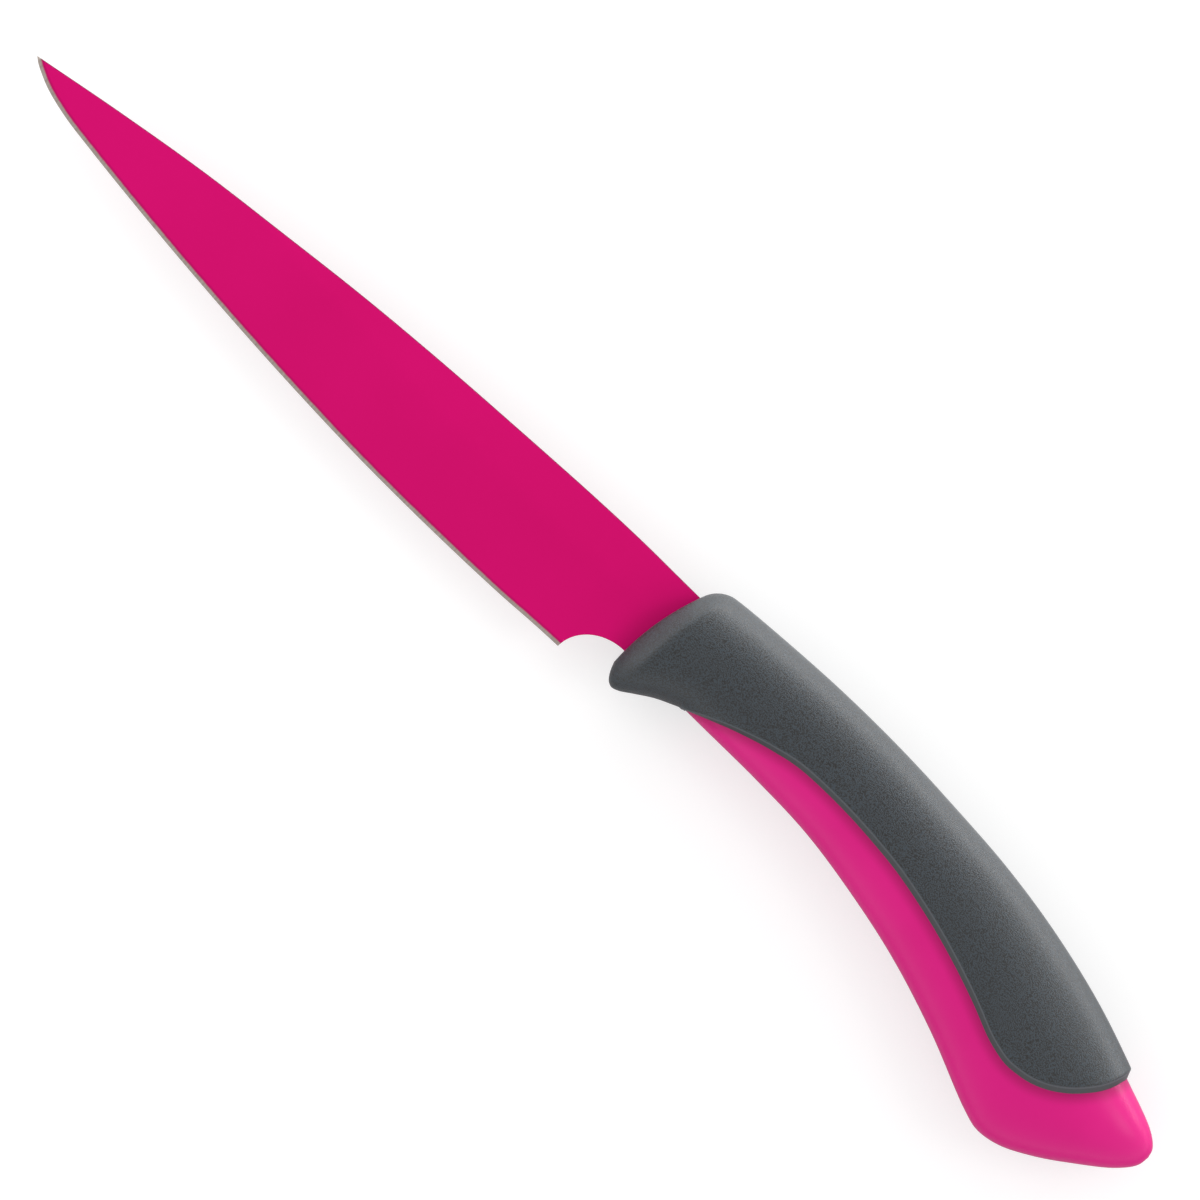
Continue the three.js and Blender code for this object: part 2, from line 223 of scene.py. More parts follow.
def finish_piece(net, name, finish, node, sharp_angle):
    bmesh.ops.remove_doubles(net, verts=net.verts, dist=melt_distance)
    bmesh.ops.recalc_face_normals(net, faces=net.faces)
    for face in net.faces:
        face.smooth = True
    for edge in net.edges:
        edge.smooth = edge.calc_face_angle(0) < math.radians(sharp_angle)
    open_edges = sum(not edge.is_manifold for edge in net.edges)
    mesh = bpy.data.meshes.new(name)
    net.to_mesh(mesh)
    net.free()
    piece = bpy.data.objects.new(name, mesh)
    bpy.context.scene.collection.objects.link(piece)
    mesh.materials.append(finish)
    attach(piece, "root")
    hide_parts(node)
    size = ", ".join(f"{side / mm:.1f}" for side in piece.dimensions)
    print(f"{name}: {len(mesh.polygons)} faces, {open_edges} open edges, {size} mm")


# %% [markdown]
# ## Shader arithmetic
#
# A finish is mostly arithmetic on masks and noises. Each Math node could be added by hand, but a formula is
# easier to read, so a small class wraps a socket and turns the usual operators into Math nodes. All others but
# the output come from one method: its settings are made first, and then its sockets get numbers, colours or
# links.
# A few more methods name what the finishes use again and again. The numbers of a noise are its lumps to the
# metre and its layers of finer ones, and a ramp rises from 0 to 1 between its two numbers.

# %% Sockets that can be added, multiplied and ramped
bump_depth = 0.03 * mm


class Signal:
    def __init__(self, sheet, socket):
        self.sheet = sheet
        self.socket = socket

    def maths(self, operation, *others):
        return self.sheet.node("Math", {"operation": operation}, dict(enumerate((self, *others))))

    def __add__(self, other):
        return self.maths("ADD", other)

    def __mul__(self, other):
        return self.maths("MULTIPLY", other)

    def __sub__(self, other):
        return self.maths("SUBTRACT", other)

    def __rsub__(self, other):
        return self.sheet.node("Math", {"operation": "SUBTRACT"}, {0: other, 1: self})

    def __abs__(self):
        return self.maths("ABSOLUTE")

    __radd__ = __add__

    def ramp(self, start, stop):
        settings = {"interpolation_type": "SMOOTHSTEP"}
        return self.sheet.node("MapRange", settings, {"Value": self, "From Min": start, "From Max": stop})


class Finish:
    def __init__(self, name):
        self.material = bpy.data.materials.new(name)
        self.material.use_nodes = True
        self.tree = self.material.node_tree
        self.tree.nodes.clear()

    def node(self, kind, settings=None, sockets=None, output=0):
        made = self.tree.nodes.new("ShaderNode" + kind)
        for setting, value in (settings or {}).items():
            setattr(made, setting, value)
        for label, value in (sockets or {}).items():
            if isinstance(label, str):
                socket = next(entry for entry in made.inputs if entry.name == label and entry.enabled)
            else:
                socket = made.inputs[label]
            if isinstance(value, Signal):
                self.tree.links.new(value.socket, socket)
            else:
                socket.default_value = value
        return Signal(self, made.outputs[output])

    def mix(self, factor, first, second):
        settings = {"data_type": "RGBA"}
        sockets = {"Factor": factor, "A": first, "B": second}
        return self.node("Mix", settings, sockets, output=2)

    def place(self, stretch=(1, 1, 1)):
        here = self.node("TexCoord", output=3)
        return self.node("Mapping", None, {"Vector": here, "Scale": stretch})

    def noise(self, place, scale, detail):
        return self.node("TexNoise", None, {"Vector": place, "Scale": scale, "Detail": detail})

    def measure(self, layer):
        """A length in millimetres that the mesh keeps at each knot."""
        return self.node("Attribute", {"attribute_name": layer}, output=2)

    def parting_line(self, place, crest_half, foot_half):
        """The fine ridge on the middle plane, where the two halves of a mould meet."""
        height = self.node("SeparateXYZ", None, {"Vector": place}, output=2)
        return 1 - abs(height - float(tip[2])).ramp(crest_half, foot_half)

    def bump(self, height, strength):
        return self.node("Bump", None, {"Height": height, "Distance": bump_depth, "Strength": strength})

    def surface(self, sockets):
        self.show(self.node("BsdfPrincipled", None, sockets))
        return self.material

    def show(self, shader):
        output = self.tree.nodes.new("ShaderNodeOutputMaterial")
        self.tree.links.new(shader.socket, output.inputs["Surface"])


def paint(red, green, blue):
    """A colour as a screen shows it, in steps of 0 to 255, turned into the light that it stands for."""
    shares = (value / 255 for value in (red, green, blue))
    linear = (share / 12.92 if share < 0.04045 else ((share + 0.055) / 1.055) ** 2.4 for share in shares)
    return (*linear, 1.0)


# %% [markdown]
# ## The camera
#
# The knife was photographed lying flat, from straight above and from far away: the raised grip shows no
# parallax against the blade. The camera could be tilted and aimed by hand, but here its place follows from the
# picture's scale: the frame is about 216 mm wide at the knife, so a 600 mm lens on a 36 mm sensor hangs 3.6 m
# above it. The knife runs down to the right at 44.5 degrees, and the camera is turned about its own axis by
# that.

# %% The camera above the knife
frame_width = 215.8 * mm
frame_centre = (tip[0] + 140.7 * mm, tip[1] + 1.2 * mm)
knife_turn = math.radians(44.5)
camera_data = bpy.data.cameras.new("camera")
camera_data.lens = 600
camera_data.sensor_width = 36
camera = bpy.data.objects.new("camera", camera_data)
bpy.context.scene.collection.objects.link(camera)
camera_height = frame_width * camera_data.lens / camera_data.sensor_width
camera.location = (*frame_centre, tip[2] + camera_height)
camera.rotation_euler = (0, 0, knife_turn)
bpy.context.scene.camera = camera
bpy.context.scene.view_settings.view_transform = "Standard"
print("the camera hangs", round(camera_height / mm), "mm above the knife")

# %% [markdown]
# ## The light
#
# The photograph is a plain studio picture: even light from all round, with more of it from low down than from
# overhead, so that the flat blade mirrors little. Soft boxes alone could light it, but rounded flanks would
# show them as separate streaks. So a sky gives most of the light, dim overhead, bright at the horizon and a
# little brighter on the spine's side. A long low box draws the bright band along the back of the grip, a small
# one beyond the butt leaves a soft spot on the tail, and a weak one beyond the tip lifts the grip's nose.


# %% Sky and soft boxes
def softbox(name, place, width, height, level):
    """A glowing panel that faces the middle of the knife: its level is its brightness, whatever its size."""
    lamp = bpy.data.lights.new(name, "AREA")
    lamp.shape = "RECTANGLE"
    lamp.size = width
    lamp.size_y = height
    lamp.energy = level * math.pi * width * height
    box = bpy.data.objects.new(name, lamp)
    bpy.context.scene.collection.objects.link(box)
    box.location = place
    box.rotation_euler = (-Vector(place)).to_track_quat("-Z", "Y").to_euler()


softbox("spine_light", (-0.03, 0.62, 0.09), width=1.16, height=0.18, level=4.9)
softbox("butt_light", (0.54, 0.41, 0.66), width=0.34, height=0.26, level=2.9)
softbox("tip_light", (-0.6, -0.15, 0.3), width=0.5, height=0.26, level=2)

sky_slope = (0.05, 0.15, -1.1)
sky_level = 1.61
world = bpy.data.worlds.new("studio")
bpy.context.scene.world = world
world.use_nodes = True
sky = world.node_tree
background = sky.nodes["Background"]
background.inputs["Color"].default_value = (1, 1, 1, 1)
coordinate = sky.nodes.new("ShaderNodeTexCoord")
tilt = sky.nodes.new("ShaderNodeVectorMath")
tilt.operation = "DOT_PRODUCT"
tilt.inputs[1].default_value = sky_slope
level = sky.nodes.new("ShaderNodeMath")
level.operation = "ADD"
level.inputs[1].default_value = sky_level
sky.links.new(coordinate.outputs["Generated"], tilt.inputs[0])
sky.links.new(tilt.outputs["Value"], level.inputs[0])
sky.links.new(level.outputs["Value"], background.inputs["Strength"])

# %% [markdown]
# ## The table
#
# The knife lies on a plain white table, which keeps its soft shadow. White paint at a plain light level looks
# pale grey in a picture, and more light would burn out the knife. So the table is light paint plus a glow that
# only the camera sees. Behind the spine it glows in reflections too, because the low box shines on it there
# and the back of the grip mirrors that part. From underneath the table is clear, so that the far side shows. It
# lies a hair below the knife, because two surfaces at one height would flicker through each other.

# %% The white table
paint_share = 0.5
seen_glow = 0.57
mirrored_glow = 2.1
glow_start, glow_full = 0, 0.06
table_reach = 30
table_gap = 0.02 * mm

table = Finish("white_table")
camera_ray = table.node("LightPath")
mirrored_ray = table.node("LightPath", output=3)
across = table.node("SeparateXYZ", None, {"Vector": table.node("TexCoord", output=3)}, output=1)
behind_spine = across.ramp(glow_start, glow_full)
white_paint = table.node("BsdfDiffuse", None, {"Color": (paint_share, paint_share, paint_share, 1)})
glow = table.node("Emission", None, {
    "Color": (1, 1, 1, 1),
    "Strength": camera_ray * seen_glow + mirrored_ray * behind_spine * mirrored_glow,
})
lit = table.node("AddShader", None, {0: white_paint, 1: glow})
clear = table.node("BsdfTransparent")
from_below = table.node("NewGeometry", output=6)
table.show(table.node("MixShader", None, {0: from_below, 1: lit, 2: clear}))
slab = bmesh.new()
bmesh.ops.create_grid(slab, x_segments=1, y_segments=1, size=table_reach)
table_mesh = bpy.data.meshes.new("table")
slab.to_mesh(table_mesh)
slab.free()
table_mesh.materials.append(table.material)
table_top = bpy.data.objects.new("table", table_mesh)
bpy.context.scene.collection.objects.link(table_top)
table_top.location.z = measured_box[0][2] - table_gap
table_top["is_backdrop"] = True

# %% [markdown]
# ## The blade's outline
#
# The blade is pressed from a sheet. Its spine rises from the tip in one long curve and levels out, its edge
# sweeps down and comes back up to the heel, a quarter-round notch behind the heel keeps a finger clear, and a
# tapering tang runs back into the handle. For each station along the steel these lines give the lowest and
# the highest point of the section.

# %% Lowest and highest line of the steel
spine_line = smooth_line([
    [0, 0.006], [0.12, 0.238], [0.24, 0.44], [0.36, 0.592], [0.48, 0.732],
    [0.6, 0.835], [0.72, 0.911], [0.84, 0.975], [0.92, 1], [1, 1], [2, 1],
], blade_length, spine_rise)
edge_line = smooth_line([
    [0, 0], [0.007, 0.07], [0.018, 0.147], [0.036, 0.25], [0.072, 0.375], [0.12, 0.47], [0.24, 0.655],
    [0.36, 0.803], [0.48, 0.913], [0.6, 0.985], [0.68, 1], [0.76, 0.993], [0.84, 0.965],
    [0.94, heel_drop / edge_drop], [2, heel_drop / edge_drop],
], blade_length, -edge_drop)

tang_start = blade_length + ricasso_depth
tang_end = tang_start + tang_length
end_radius = tang_end_width / 2


def tang_side(root, side):
    """The upper or lower side of the tang, which bends down with the handle as it narrows."""
    share = np.linspace(0, 1, 80)
    pull = root if side > 0 else root + (tang_root_width - tang_end_width) / 2
    bend = tang_start + tang_length * tang_bend_share
    along = (1 - share) ** 2 * tang_start + 2 * share * (1 - share) * bend + share**2 * tang_end
    height = (1 - share) ** 2 * root + 2 * share * (1 - share) * pull
    height = height + share**2 * (tang_end_height + side * end_radius)
    return lambda place: np.interp(place, along, height)


tang_upper = tang_side(tang_root_height + tang_root_width / 2, 1)
tang_lower = tang_side(tang_root_height - tang_root_width / 2, -1)


def steel_ends(along, in_tang):
    """The lowest and highest point of the steel's section at a station."""
    if in_tang:
        close = math.sqrt(max(0, end_radius**2 - max(0, along - tang_end) ** 2))
        if along > tang_end:
            return tang_end_height - close, tang_end_height + close
        return tang_lower(along), tang_upper(along)
    if along <= blade_length - heel_setback:
        return edge_line(along), spine_line(along)
    notch = max(0, (blade_length - along) / heel_setback)
    return -heel_drop + (heel_drop - ricasso_drop) * math.sqrt(1 - notch**2), spine_line(along)


# %% [markdown]
# ## The blade's thickness
#
# The sheet is 1.8 mm thick. It is ground flat on both sides, down to a narrow sharpened bevel at the edge. The
# grinding runs out behind the heel, where the sheet keeps its full thickness. One side of the section is drawn
# from the cutting edge up to the middle of the spine, with small rounded corners where a real sheet has them,
# and mirrored to the other side. Towards the tip, bevel and corners shrink with what is left of the height, and
# the very first section, under 0.1 mm high, is left open. Two measures stay on the mesh for the finish: how far
# a knot is from the cutting edge, and how far from the spine.


# %% The section of the steel and its mesh
def steel_half(along, above):
    """Half the steel's thickness at a height above the cutting edge."""
    bevel = bevel_thickness / 2
    slope = (stock / 2 - bevel) / (grind_height - bevel_height)
    ground = np.minimum(stock / 2, bevel + np.maximum(0, above - bevel_height) * slope)
    run_out = smooth_step(along, blade_length - grind_run_out, blade_length - mm)
    full = ground + (stock / 2 - ground) * run_out
    return full * np.clip(above / bevel_height, 0, 1)


def steel_section(along, in_tang=False):
    """One side of the steel's section, from the cutting edge to the middle of the spine."""
    low, high = steel_ends(along, in_tang)
    edge = edge_line(along)
    depth = high - low
    cut = min(cut_chamfer, depth / 12)
    chamfer = min(spine_chamfer, depth / 8)
    shoulder = max(low + 2 * cut, min(edge + bevel_height, low + depth / 3))
    top = high - chamfer
    ground_end = max(shoulder, min(edge + grind_height, top - chamfer))
    heights = np.concatenate([
        [low + cut], spread(shoulder, ground_end, 12), spread(ground_end, top, 5)[1:],
    ])
    halves = steel_half(along, heights - edge)
    corner = max(0, steel_half(along, low - edge) - cut)
    turns = np.radians([30, 60, 90])
    rounded = np.stack([top + chamfer * np.sin(turns), halves[-1] - chamfer * (1 - np.cos(turns))], axis=1)
    flank = np.vstack([[low, 0], [low, corner], np.stack([heights, halves], axis=1), rounded, [high, 0]])
    return np.column_stack([np.full(len(flank), along), flank])


tip_span = 12 * mm
notch_turns = np.radians(np.linspace(0, 90, 25))
blade_stations = np.concatenate([
    spread(0, tip_span, 26, 2),
    spread(tip_span, blade_length - heel_setback, 110)[1:],
    (blade_length - heel_setback * np.cos(notch_turns))[1:],
    spread(blade_length, tang_start, 3)[1:],
])
end_turns = np.radians(np.linspace(0, 90, 9))
tang_stations = np.concatenate([
    spread(tang_start, tang_end, 24),
    (tang_end + end_radius * np.sin(end_turns))[1:],
])
steel = np.stack(
    [steel_section(along) for along in blade_stations]
    + [steel_section(along, in_tang=True) for along in tang_stations]
)
slope_reach = 0.3 * mm
blade_net, _ = wrap_net(steel, tip)
above_edge = blade_net.verts.layers.float.new("above_edge")
below_spine = blade_net.verts.layers.float.new("below_spine")
for knot in blade_net.verts:
    along, height = knot.co.x - tip[0], knot.co.y - tip[1]
    slope = (edge_line(along + slope_reach) - edge_line(along - slope_reach)) / (2 * slope_reach)
    knot[above_edge] = float(height - edge_line(along)) / math.hypot(1, slope) / mm
    knot[below_spine] = float(spine_line(along) - height) / mm
mirrored = bmesh.ops.duplicate(blade_net, geom=blade_net.verts[:] + blade_net.edges[:] + blade_net.faces[:])
for knot in mirrored["geom"]:
    if isinstance(knot, bmesh.types.BMVert):
        knot.co.z = 2 * tip[2] - knot.co.z
print("stations along the steel:", len(steel))

# %% [markdown]
# ## The blade's finish
#
# The blade carries a satin non-stick coating in magenta. Sharpening grinds it off again along the edge, so a
# thin line of bare steel shows there, with a border that wanders a little. The line could be a piece of its
# own, but on the real blade it is one steel, so the distance from the edge, kept on the mesh, tells the finish
# where the coating ends. The coating is darker at this border and on the corner of the spine, and fine
# scratches run across the bare bevel, as a grinding belt leaves them.

# %% Satin coating and the bare ground edge
border_wander = 0.16
bare_below, coated_above = 0.44, 0.82

coated = Finish("blade_coating")
here = coated.place()
wander = coated.noise(here, 700, 3)
border = coated.measure("above_edge") + (wander - 0.5) * border_wander
coating = border.ramp(bare_below, coated_above)
cloud = coated.noise(here, 22, 3)
grain = coated.noise(here, 5200, 2)
scratch = coated.noise(coated.place((5000, 260, 260)), 1, 3)
off_corner = coated.measure("below_spine").ramp(0.04, 0.28)
off_border = 0.6 + border.ramp(0.8, 1.3) * 0.4
flank_colour = coated.mix(cloud.ramp(0.3, 0.7), paint(200, 6, 101), paint(206, 6, 106))
coat_colour = coated.mix(off_corner * off_border, paint(125, 6, 68), flank_colour)
steel_colour = coated.mix(scratch.ramp(0.3, 0.7), paint(164, 152, 144), paint(184, 172, 164))
coating_height = coating * 0.9 + grain * 0.25 * coating + scratch * 0.35 * (1 - coating)
coated_steel = coated.surface({
    "Base Color": coated.mix(coating, steel_colour, coat_colour),
    "Metallic": (1 - coating) * 0.7,
    "Roughness": coating * (0.36 + cloud * 0.06) + (1 - coating) * (0.24 + scratch * 0.14),
    "Specular IOR Level": 0.08,
    "Normal": coated.bump(coating_height, 0.5),
})
finish_piece(blade_net, "blade_steel", coated_steel, "blade", sharp_angle=8)

# %% [markdown]
# ## The handle's lines
#
# In the hand the handle is a drawn S: it swells under the palm, drops to a hooked butt that keeps it from
# slipping, and is narrowest behind the guard. Five lines describe it: the back and the belly of the hard core,
# its half thickness, the edge of the soft grip on the flank, and the underside of the finger guard. Where the
# edge of the grip leaves the belly and where it reaches the back, it turns fast, so the stations crowd there.

# %% Back, belly, waist, the grip's edge and the guard
core_top = smooth_line([
    [0, 0.84], [0.062, 0.912], [0.144, 0.96], [0.254, 0.998], [0.364, 0.998], [0.474, 0.96], [0.584, 0.897],
    [0.694, 0.773], [0.804, 0.581], [0.904, 0.335], [0.978, 0.13], [0.996, 0.022], [1, tail_rise / core_rise],
], handle_length, core_rise)
belly_line = smooth_line([
    [0, 0], [0.15, 0], [0.254, 0], [0.351, 0.032], [0.45, 0.147], [0.557, 0.331], [0.666, 0.604],
    [0.773, 0.938], [0.804, 1], [0.84, 0.958], [0.886, 0.782], [0.931, 0.547], [0.978, 0.262], [0.997, 0.075],
    [1, (-tail_rise - belly_depth) / (butt_drop - belly_depth)],
], handle_length, -(butt_drop - belly_depth))
waist_line = smooth_line([
    [0, 0.96], [0.08, 1], [0.28, 0.945], [0.56, 1], [0.76, 0.99], [0.88, 0.9], [1, 0.8],
], handle_length, core_thickness / 2)
split_line = smooth_line([
    [0, -0.027], [0.045, 0.073], [0.1, 0.18], [0.17, 0.283], [0.23, 0.341], [0.3, 0.363], [0.38, 0.383],
    [0.457, 0.394], [0.54, 0.382], [0.64, 0.363], [0.715, 0.346], [0.77, 0.3335], [0.81, 0.346], [0.86, 0.403],
    [0.9, 0.463], [0.935, 0.548], [0.962, 0.662], [0.982, 0.804], [1, 1.1],
], grip_length - guard_length, 1)
guard_line = smooth_line([
    [0, 0.58], [0.05, 0.78], [0.12, 0.94], [0.2, 1], [0.3, 0.95], [0.45, 0.79], [0.7, 0.53],
    [1, (belly_depth + belly_step) / guard_drop],
], guard_length, -guard_drop)


def core_belly(along):
    return belly_line(along) - belly_depth


def core_half(along):
    share = np.maximum(0, (along - handle_length) / (tail_round_share * handle_length) + 1)
    return waist_line(along) * np.maximum(0, 1 - share**tail_flatness) ** tail_roundness


def split_height(along):
    share = split_line(along - guard_length)
    return core_belly(along) + (core_top(along) - core_belly(along)) * share


every_place = np.linspace(guard_length, grip_length, 20001)
split_shares = split_line(every_place - guard_length)
split_start = every_place[np.argmax(split_shares > 0)]
split_end = every_place[np.argmax(split_shares > 1)]
split_run_in = split_start + 6 * mm
split_run_out = split_end - 14 * mm
split_stations = np.concatenate([
    spread(split_start, split_run_in, 40, 1.5),
    spread(split_run_in, split_run_out, 90)[1:],
    spread(split_end, split_run_out, 90, 1.5)[-2::-1],
])
print("the grip is open underneath from", round(split_start / mm, 2), "to", round(split_end / mm, 2), "mm")

# %% [markdown]
# ## The handle's section
#
# A round bar would turn in the hand and a flat one would press into it, so a handle's section is a full oval,
# a little squarer at the belly than at the back. A superellipse gives that with one number for each half. Each
# point of the oval has an angle, from -90 degrees at the belly to +90 degrees at the back. One angle marks the
# same place on the core, on the seat under the grip and on the grip itself, so that these points lie above each
# other.

# %% The oval section
spine_fullness = 2.25
belly_fullness = 2.5


def oval_points(along, top, bottom, half, angles):
    power = np.where(angles < 0, 2 / belly_fullness, 2 / spine_fullness)
    height = (top + bottom) / 2 + np.sign(angles) * (top - bottom) / 2 * np.abs(np.sin(angles)) ** power
    out = half * np.abs(np.cos(angles)) ** power
    out = np.where(np.isclose(np.abs(angles), math.pi / 2, rtol=0, atol=1e-6), 0, out)
    return np.stack([np.full(len(angles), along), height, out], axis=1)


def oval_angles(top, bottom, heights):
    share = np.clip((heights - (top + bottom) / 2) / ((top - bottom) / 2), -1, 1)
    fullness = np.where(share < 0, belly_fullness, spine_fullness)
    return np.sign(share) * np.arcsin(np.abs(share) ** (fullness / 2))


def core_points(along, angles):
    return oval_points(along, core_top(along), core_belly(along), core_half(along), angles)


def split_angle(along):
    if along <= split_start:
        return -math.pi / 2
    if along >= split_end:
        return math.pi / 2
    return float(oval_angles(core_top(along), core_belly(along), split_height(along)))


# %% [markdown]
# ## The front of the grip
#
# In front the grip closes round the steel. Its face is bowed like the arc of a thumb nail, its upper corner is
# rounded, the nose is narrower than the rest and swells to the flanks over a soft ridge, and underneath it
# hangs down as a finger guard. The section ribs of this part lie parallel to the bowed face and straighten
# towards the end of the guard, so that the net follows the form.


# %% Ribs of the grip
def nose_share(behind):
    """How much of the grip's full thickness there is at a distance behind its front."""
    ramp = front_face_share + (1 - front_face_share) * behind / nose_length - 1
    blended = 1 + (ramp - np.hypot(ramp, nose_softness)) / 2
    edge = min(1, behind / nose_radius)
    return blended * (front_edge_share + (1 - front_edge_share) * math.sqrt(1 - (1 - edge) ** 2))


def grip_rib(along):
    """Top, bottom and half thickness of a rib, its bow, and how far its top leans back."""
    if along >= guard_length:
        half = (core_half(along) + lip_step) * nose_share(along)
        return core_top(along) + spine_step, core_belly(along) - belly_step, half, 0, 0
    bowed = 1 - smooth_step(along, 0, guard_length)
    front_top = core_top(front_corner) + spine_step - front_corner
    corner_start = (front_top + ricasso_drop) ** 2 / (2 * front_curve_radius)
    top_along = along + corner_start * bowed
    corner_left = np.clip(1 - (top_along - corner_start) / front_corner_length, 0, 1)
    top = core_top(top_along) + spine_step - front_corner * (1 - math.sqrt(1 - corner_left**2))
    half = (core_half(along) + lip_step) * nose_share(along)
    return top, guard_line(along), half, bowed / (2 * front_curve_radius), top_along - along


def bow_back(along, rib, points):
    """Moves points of an upright rib on to its bowed and leaning plane."""
    top, bottom, _, bow, lean = rib
    height = points[:, 1]
    points[:, 0] = along + lean * (height - bottom) / (top - bottom) - bow * (height - bottom) * (top - height)
    return points


def bed_points(along, angles, inset=0.0):
    """The seat that the grip lies on, one bed deep in the core."""
    top, bottom, half, _, _ = grip_rib(along)
    return oval_points(
        along, core_top(along) - bed_depth - inset, bottom + belly_step + bed_depth + inset,
        half - lip_step - bed_depth - inset, angles,
    )


# %% [markdown]
# ## The raised lip
#
# Where the soft grip ends on the flank it doesn't fade into the core: it stands up from it in a steep bevel
# with a soft crest, which follows the whole S of the edge and closes round the back. A bevel tool could cut it
# from a straight wall, but the edge of the grip is a free curve on a curved surface. So the distance from the
# edge decides how far each knot stands out: nothing at the edge, and the full step one lip width further in.
# The rows of knots lie close together on the lip, and under the guard, where there is none, they spread almost
# evenly.


# %% How far the grip stands out near its edge
def distance_to_edge(points):
    """How far each point is from the nearest point of the grip's edge."""
    away = points[:, None] - split_points[None, :-1]
    share = np.clip((away * split_steps).sum(-1) / (split_steps**2).sum(-1), 0, 1)
    return np.linalg.norm(away - share[..., None] * split_steps, axis=-1).min(-1)


def edge_distances(surface):
    """The distance for both flanks of a surface: the far flank is folded over on to the near one."""
    return np.stack([distance_to_edge(np.column_stack([ring[:, :2], np.abs(ring[:, 2])])) for ring in surface])


hair = 0.0001 * mm
rises_until = split_start + 4 * mm
closes_from = split_end - 8 * mm
split_points = np.vstack([
    core_points(along, np.array([split_angle(along)])) for along in np.concatenate([
        spread(split_start + hair, rises_until, 40, 2),
        spread(rises_until, closes_from, 120)[1:],
        spread(split_end - hair, closes_from, 90, 1.6)[-2::-1],
    ])
])
split_steps = np.diff(split_points, axis=0)
lip_shares = np.array([0, 0.1, 0.25, 0.45, 0.65, 0.8, 0.88, 0.94, 1, 1.06, 1.14, 1.3, 1.6])


def grip_angles(along):
    """Angles of the knots of one flank, from its edge or the guard's underside up to the back."""
    top, belly = core_top(along), core_belly(along)
    edge = split_height(along) if along > split_start else belly
    lip = oval_angles(top, belly, edge + lip_width * lip_shares)
    angles = np.concatenate([lip, spread(lip[-1], math.pi / 2, 34)[1:]])
    under_guard = spread(-math.pi / 2, math.pi / 2, len(angles) - 1, 1.3)
    return under_guard + (angles - under_guard) * smooth_step(along, guard_length, split_start)


def grip_points(along):
    angles = grip_angles(along)
    rib = grip_rib(along)
    over = bow_back(along, rib, oval_points(along, *rib[:3], angles))
    if along < guard_length:
        return over
    under = core_points(along, angles)
    rise = distance_to_edge(under) / lip_width
    share = np.clip((1 + rise - np.hypot(1 - rise, lip_softness)) / 2, 0, 1)[:, None]
    if along > split_start:
        share[0] = 0
    return under + (over - under) * share


# %% [markdown]
# ## The grip's net
#
# The net of the grip starts in the slot round the steel, spreads over the bowed face, turns over the rounded
# nose and runs back along both flanks. Its two long sides meet under the guard, where they are melted
# together, and part behind it to follow the edge. The skin then gets its thickness: a copy of it is extruded
# and laid on the seat, so the moulding is a real shell, which behind the guard is thickest at the spine. Under
# the guard the walls of the two long sides melt into one thin web inside the rubber, where it can't be seen.

# %% Skin and seat of the grip
slot_play = 0.03 * mm
slot_tuck = 0.35 * mm
slot_half = stock / 2 + slot_play
slot_low = -ricasso_drop - slot_play
slot_high = spine_rise + slot_play
grip_stations = np.concatenate([
    spread(0, guard_length, 64, 1.6),
    spread(split_start, guard_length, 24, 1.5)[-2::-1],
    split_stations[1:],
])
skin = [grip_points(along) for along in grip_stations]
seat = []
for along in grip_stations:
    laid = max(along, core_start)
    seat.append(bed_points(laid, grip_angles(laid)))

nose_rib = grip_rib(0)
mouth = skin[0].copy()
mouth[:, 1] = np.clip(mouth[:, 1], slot_low, slot_high)
mouth[:, 2] = np.minimum(mouth[:, 2], slot_half)
face_skin, face_seat = [], []
for share in (0, 0.04, 0.12, 0.3, 0.6, 0.85):
    ring = mouth + (skin[0] - mouth) * share
    ring = bow_back(0, nose_rib, ring)
    if share == 0:
        ring[:, 0] += slot_tuck
    face_skin.append(ring)
    laid = mouth + (seat[0] - mouth) * share
    laid[:, 0] = core_start
    face_seat.append(laid)

skin = both_flanks(np.stack(face_skin + skin))
seat = both_flanks(np.stack(face_seat + seat))
grip_net, grip_places = wrap_net(skin, handle_zero)
on_seat = grip_net.verts.layers.float_vector.new("on_seat")
from_edge = grip_net.verts.layers.float.new("from_edge")
edge_distance = edge_distances(skin)
for knot, place in zip(grip_net.verts, grip_places):
    knot[on_seat] = seat[place] + handle_zero
    knot[from_edge] = float(edge_distance[place]) / mm
inner = bmesh.ops.extrude_face_region(grip_net, geom=grip_net.faces[:], use_keep_orig=True)
for knot in inner["geom"]:
    if isinstance(knot, bmesh.types.BMVert):
        knot.co = knot[on_seat]
grip_net.verts.layers.float_vector.remove(on_seat)
print("ribs of the grip:", len(skin), "with", skin.shape[1], "knots each")

# %% [markdown]
# ## The grip's finish
#
# Soft-touch rubber is moulded in a finely eroded mould, so it is matte and its surface is a fine even grain.
# It takes the light in a broad, soft band and never mirrors anything. A bump alone would vanish at this
# distance, so the grain also varies the colour a little, as dust and light do in the real pits. The lip came
# smooth from the mould: the distance from the grip's edge, kept on the mesh, takes the grain away there. It
# also makes the lip a little lighter, partly the rubber without its pits and partly painted light, and paints a
# highlight along the crest.

# %% Matte rubber with a fine grain
grain_start, grain_full = 1.05, 1.35
# where the painted highlight along the lip's crest rises and falls, in mm from the edge
highlight_rise = (0.95, 1.2)
highlight_fall = (1.3, 1.6)

